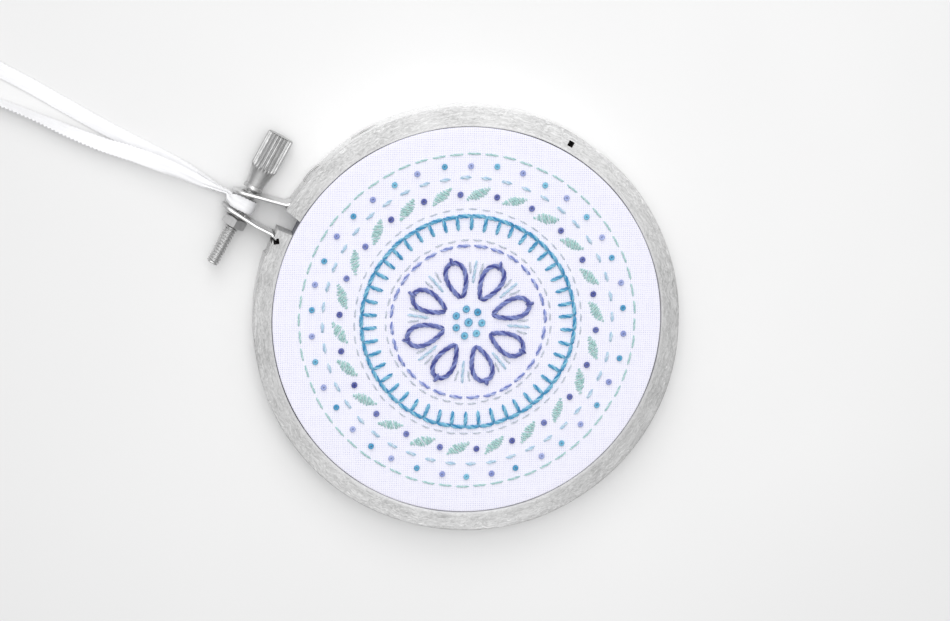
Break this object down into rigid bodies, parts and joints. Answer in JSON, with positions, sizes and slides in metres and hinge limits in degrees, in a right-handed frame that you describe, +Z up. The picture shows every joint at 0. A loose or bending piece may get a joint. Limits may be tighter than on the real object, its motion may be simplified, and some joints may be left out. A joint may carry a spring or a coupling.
{
  "type": "embroidered cloth in a wooden embroidery hoop",
  "caption": "Small wooden embroidery hoop with stretched stitched cloth, a metal screw clamp on its split outer ring and a looped hanging ribbon.",
  "frame": {"origin": "on the surface the hoop lies on, below the middle of the box around the rings and the clamp", "axes": "+Z up out of the cloth's face, +Y from the ring's centre to the clamp, +X along the clamp screw towards its thumb head"},
  "size_m": [0.0842, 0.1608, 0.0075],
  "materials": {
    "grey_wood": "dry matte, fine speckled grain",
    "pale_wood": "dry matte",
    "white_cloth": "fine plain weave",
    "white_satin": "satin ribbon",
    "nickel": "dull nickel plate",
    "wire_steel": "drawn wire"
  },
  "bodies": {
    "hoop": {"outer_ring": "grey_wood", "inner_ring": "pale_wood", "cloth": "white_cloth", "clamp_ear_head_side": "nickel", "clamp_ear_nut_side": "nickel", "hex_nut": "nickel", "staple_near_clamp": "wire_steel", "staple_far_from_clamp": "wire_steel", "hanging_ribbon": "white_satin"},
    "screw": {"thumbscrew": "nickel"}
  },
  "joints": [
    {"name": "screw_turn", "type": "hinge", "parent": "hoop", "child": "screw", "pos_m": [0, 0.04398, 0.00375], "axis": [1, 0, 0], "continuous": true}
  ]
}
